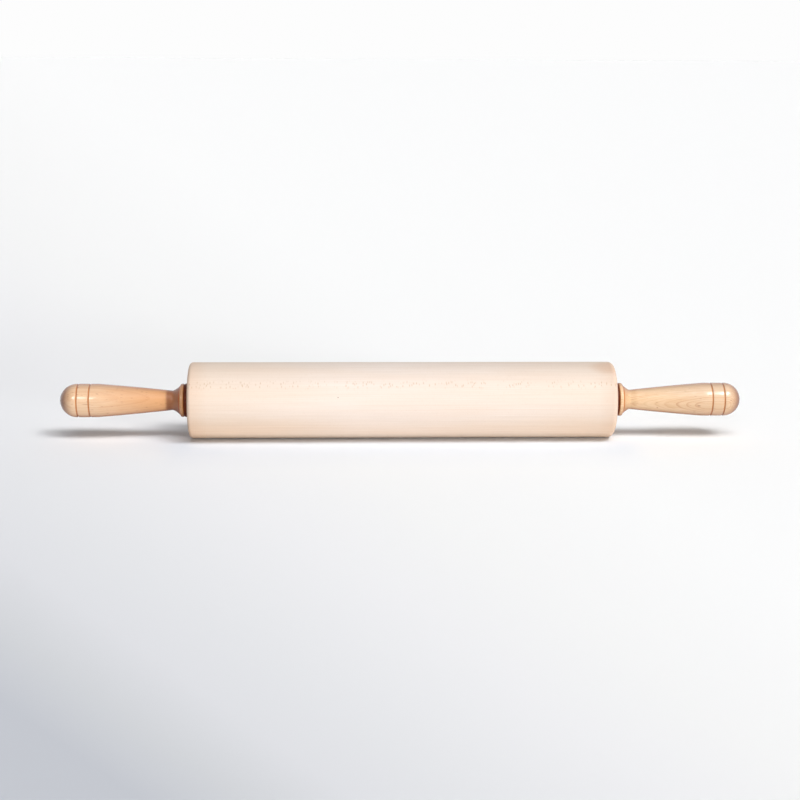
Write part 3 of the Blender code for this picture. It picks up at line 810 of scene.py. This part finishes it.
def handle_outline(s):
    """Outline of the right handle, from its tip to the point of its bore."""
    drawn = Outline()
    face = HANDLE_FACE
    grip = s.grip_radius
    tip = face + s.dome_foot + grip
    drawn.add(tip, 0)
    drawn.add(tip, grip, grip)
    for middle in (s.outer_cut, s.inner_cut):
        drawn.add(face + middle + s.cut_width / 2, grip, s.cut_width / 5)
        drawn.add(face + middle, grip - s.cut_depth, s.cut_width / 6)
        drawn.add(face + middle - s.cut_width / 2, grip, s.cut_width / 5)
        if middle == s.outer_cut:
            between = (s.outer_cut + s.inner_cut) / 2
            drawn.add(face + between, grip + s.bead, s.bead_round)
    drawn.add(face + s.taper_start + s.taper_lead, grip)
    middle = (s.taper_start + s.neck) / 2
    pull = (grip + s.neck_radius) / 2 + 2 * s.taper_bulge
    start = (face + s.taper_start, grip, 0)
    neck = (face + s.neck, s.neck_radius, 0)
    drawn.curve(start, (face + middle, pull, 0), neck, steps=40)
    # The hollow starts a little past the neck, so that it doesn't double the taper's last point
    step = (face + s.quirk, s.quirk_radius, 0)
    pull = (face + s.neck * 0.82, s.neck_radius, 0)
    drawn.curve(Vector(neck).lerp(Vector(pull), 0.02), pull, step, steps=24)
    drawn.add(face + s.quirk - s.quirk_depth, s.quirk_radius - s.quirk_depth)
    rim = face + s.quirk - 2 * s.quirk_depth
    drawn.add(rim, s.quirk_radius + s.quirk_depth / 2)
    drawn.add(rim, grip, s.rim_inner_round)
    drawn.add(face, grip, s.rim_round)
    drawn.add(face, s.bore_radius + s.bore_chamfer)
    drawn.add(face + s.bore_chamfer, s.bore_radius)
    drawn.add(face + s.bore_depth, s.bore_radius)
    drawn.add(face + s.bore_depth + s.bore_radius * DRILL_POINT, 0)
    return drawn


def direction(azimuth, elevation):
    """Unit vector from the pin. Azimuth 0 is the front, and it grows towards the right end."""
    across = math.cos(elevation)
    return Vector((math.sin(azimuth) * across, -math.cos(azimuth) * across, math.sin(elevation)))


def camera_axes(settings):
    """Matrix whose columns point to the camera's right, up and back."""
    back = direction(settings.azimuth, settings.elevation)
    return back.to_track_quat("Z", "Y").to_matrix() @ Matrix.Rotation(settings.roll, 3, "Z")


def add_sun(name, energy, azimuth, elevation, width, shines=False):
    """Far lamp, with its direction and the width at which it is seen in degrees.

    Those that shine show in the lacquer and the metal alone, and the others light the colours.
    """
    lamp = bpy.data.lights.new(name, "SUN")
    lamp.energy = energy
    lamp.angle = math.radians(width)
    made = bpy.data.objects.new(name, lamp)
    made.visible_glossy = shines
    made.visible_diffuse = not shines
    towards = direction(math.radians(azimuth), math.radians(elevation))
    made.rotation_mode = "QUATERNION"
    made.rotation_quaternion = towards.to_track_quat("Z", "Y")
    bpy.context.scene.collection.objects.link(made)


# Operators


class ROLLINGPIN_OT_barrel(Operator):
    """Turns the barrel, with its bearing seats and its bore"""

    bl_idname = "rolling_pin.barrel"
    bl_label = "Barrel"

    def execute(self, context):
        s = context.scene.rolling_pin.barrel
        outline = Outline()
        seat = BARREL_END - s.seat_depth
        outline.add(BARREL_END, s.radius, s.right_corner)
        outline.add(-BARREL_END, s.radius, s.left_corner)
        outline.add(-BARREL_END, s.seat_radius, s.seat_round)
        outline.add(-seat, s.seat_radius)
        outline.add(-seat, s.bore_radius)
        outline.add(seat, s.bore_radius)
        outline.add(seat, s.seat_radius)
        outline.add(BARREL_END, s.seat_radius, s.seat_round)
        outline.close()
        mesh = outline.turn("turned_barrel", s.sides, s.corner_sides)
        material = barrel_material(s, shared_group("maple_grain", grain_group))
        add_piece("turned_barrel", mesh, material, "barrel", ["barrel"])
        return {"FINISHED"}


class ROLLINGPIN_OT_handles(Operator):
    """Turns both handles, with their cut lines, neck, rim and blind bore"""

    bl_idname = "rolling_pin.handles"
    bl_label = "Handles"

    def execute(self, context):
        s = context.scene.rolling_pin.handles
        grain = shared_group("maple_grain", grain_group)
        left_wood = handle_material(
            "left_handle_lacquered_maple",
            s,
            grain,
            tones=(s.left_grip, s.left_neck, s.left_neck_shadow, s.left_end_and_shade),
            turned=math.radians(24),
            pith_distance=0.047,
            rings=0.0021,
            ring_share=0.25,
            flecks=0.16,
            knots=[
                {"along": -0.2843, "degrees": -0.7, "radius": s.grip_radius, "half_size": (0.0056, 0.0003)},
            ],
        )
        right_wood = handle_material(
            "right_handle_lacquered_maple",
            s,
            grain,
            tones=(s.right_grip, s.right_neck, s.right_neck_shade, s.right_end),
            turned=math.radians(-10),
            pith_distance=0.05,
            rings=0.001,
            ring_share=0.5,
            flecks=0.05,
            knots=[
                {"along": 0.2695, "degrees": -11.5, "radius": 0.0148, "half_size": (0.0022, 0.0008)},
                {"along": 0.2324, "degrees": -30, "radius": 0.0114, "half_size": (0.001, 0.0007)},
                {"along": 0.2987, "degrees": 8.3, "radius": 0.01456, "half_size": (0.0007, 0.0007)},
            ],
        )
        add_pair(handle_outline(s), s, "turned", "handle", (left_wood, right_wood))
        return {"FINISHED"}


class ROLLINGPIN_OT_collars(Operator):
    """Moulds the two plastic collars between the handles and the barrel"""

    bl_idname = "rolling_pin.collars"
    bl_label = "Collars"

    def execute(self, context):
        s = context.scene.rolling_pin.collars
        drawn = Outline()
        inner = BARREL_END + s.gap
        drawn.add(COLLAR_HIGH.x, s.radius, s.round)
        drawn.add(inner, s.radius, s.round)
        drawn.add(inner, s.boss_radius)
        drawn.add(COLLAR_LOW.x, s.boss_radius, s.boss_round)
        drawn.add(COLLAR_LOW.x, s.bore_radius)
        drawn.add(COLLAR_HIGH.x, s.bore_radius, s.boss_round)
        drawn.close()
        plastic = collar_material(s)
        add_pair(drawn, s, "moulded", "collar", (plastic, plastic))
        return {"FINISHED"}


class ROLLINGPIN_OT_metalwork(Operator):
    """Finishes the rod, the threaded inserts and the bearings"""

    bl_idname = "rolling_pin.metalwork"
    bl_label = "Rod, inserts and bearings"

    def execute(self, context):
        machining = shared_group("turned_steel", machining_group)
        # For each kind of piece: material, bright and dull colour, roughness, lines to the metre, their depth
        finishes = {
            "centre_rod": ("rod_drawn_steel", (206, 206, 204), (186, 185, 181), 0.3, 9000.0, 0.00003),
            "threaded_insert": ("insert_brass", (216, 184, 116), (188, 150, 84), 0.32, 7000.0, 0.00003),
            "race": ("race_ground_steel", (214, 216, 218), (196, 198, 200), 0.16, 14000.0, 0.00001),
            "ball": ("ball_polished_steel", (222, 224, 226), (210, 212, 214), 0.06, 3000.0, 0.000004),
            "cage": ("cage_pressed_steel", (198, 196, 190), (168, 166, 160), 0.36, 5000.0, 0.00003),
            "shield": ("shield_brushed_steel", (204, 204, 202), (182, 182, 178), 0.34, 12000.0, 0.00002),
        }
        made = {kind: metal_material(name, machining, *rest) for kind, (name, *rest) in finishes.items()}
        for name, node in NODES.items():
            for kind, material in made.items():
                if kind in name:
                    for slot in node.material_slots:
                        slot.material = material
        return {"FINISHED"}


class ROLLINGPIN_OT_stage(Operator):
    """Lays the floor and sets up the lights and the camera"""

    bl_idname = "rolling_pin.stage"
    bl_label = "Floor, lights and camera"

    def execute(self, context):
        s = context.scene.rolling_pin.stage
        shape = bmesh.new()
        bmesh.ops.create_grid(shape, x_segments=1, y_segments=1, size=s.floor_size / 2)
        mesh = bpy.data.meshes.new("floor")
        shape.to_mesh(mesh)
        shape.free()
        floor = bpy.data.objects.new("floor", mesh)
        context.scene.collection.objects.link(floor)
        mesh.materials.append(floor_material(s))

        # The soft light glows from behind. The backdrop shows at a level of its own
        world = bpy.data.worlds.new("studio")
        world.use_nodes = True
        context.scene.world = world
        tree = world.node_tree
        towards = add_node(tree, "TexCoord").outputs["Generated"]
        behind = calculate(tree, "MAXIMUM", parts_of(tree, towards)[1], 0.0)
        glow = calculate(tree, "MULTIPLY", behind, behind, s.glow)
        light = calculate(tree, "ADD", glow, s.sky)
        rays = add_node(tree, "LightPath").outputs
        seen = [rays[kind] for kind in ("Is Camera Ray", "Is Glossy Ray", "Is Transmission Ray")]
        seen = calculate(tree, "MAXIMUM", *seen)
        strength = ramp(tree, seen, 0.0, 1.0, light, s.seen, smooth=False)
        cast = blend(tree, seen, (*s.fill_tint, 1.0), (1.0, 1.0, 1.0, 1.0))
        connect(tree, tree.nodes["Background"], {"Strength": strength, "Color": cast})

        add_sun("key_light", s.key, azimuth=40, elevation=57, width=28)
        add_sun("far_light", s.far, azimuth=57, elevation=51, width=22)
        add_sun("high_light", s.high, azimuth=-3, elevation=68, width=34)
        add_sun("side_light", s.side, azimuth=42, elevation=4, width=7)
        add_sun("front_light", s.front, azimuth=5, elevation=3, width=6)
        add_sun("left_light", s.left, azimuth=-19, elevation=28, width=14)
        add_sun("right_shine", s.right_shine, azimuth=35, elevation=48, width=20, shines=True)
        add_sun("left_shine", s.left_shine, azimuth=-19, elevation=28, width=18, shines=True)

        camera = bpy.data.objects.new("camera", bpy.data.cameras.new("camera"))
        context.scene.collection.objects.link(camera)
        camera.data.lens = s.lens
        back = direction(s.azimuth, s.elevation)
        camera.location = Vector(s.aim) + back * s.distance
        camera.rotation_mode = "QUATERNION"
        camera.rotation_quaternion = camera_axes(s).to_quaternion()
        context.scene.camera = camera
        context.scene.view_settings.view_transform = "Standard"
        return {"FINISHED"}


class ROLLINGPIN_PT_panel(Panel):
    bl_label = "Rolling Pin"
    bl_space_type = "VIEW_3D"
    bl_region_type = "UI"
    bl_category = "Rolling Pin"

    def draw(self, context):
        for operator in OPERATORS:
            self.layout.operator(operator.bl_idname)
        for part in ("barrel", "handles", "collars", "stage"):
            box = self.layout.box()
            box.label(text=part.capitalize())
            settings = getattr(context.scene.rolling_pin, part)
            for name in settings.__annotations__:
                box.prop(settings, name)


OPERATORS = (
    ROLLINGPIN_OT_barrel,
    ROLLINGPIN_OT_handles,
    ROLLINGPIN_OT_collars,
    ROLLINGPIN_OT_metalwork,
    ROLLINGPIN_OT_stage,
)
CLASSES = (
    RollingPinBarrel,
    RollingPinHandles,
    RollingPinCollars,
    RollingPinStage,
    RollingPinSettings,
    *OPERATORS,
    ROLLINGPIN_PT_panel,
)


def register():
    for cls in CLASSES:
        bpy.utils.register_class(cls)
    bpy.types.Scene.rolling_pin = PointerProperty(type=RollingPinSettings)


def unregister():
    del bpy.types.Scene.rolling_pin
    for cls in reversed(CLASSES):
        bpy.utils.unregister_class(cls)


def main():
    register()
    bpy.ops.rolling_pin.barrel()
    bpy.ops.rolling_pin.handles()
    bpy.ops.rolling_pin.collars()
    bpy.ops.rolling_pin.metalwork()
    bpy.ops.rolling_pin.stage()


if __name__ == "__main__":
    main()
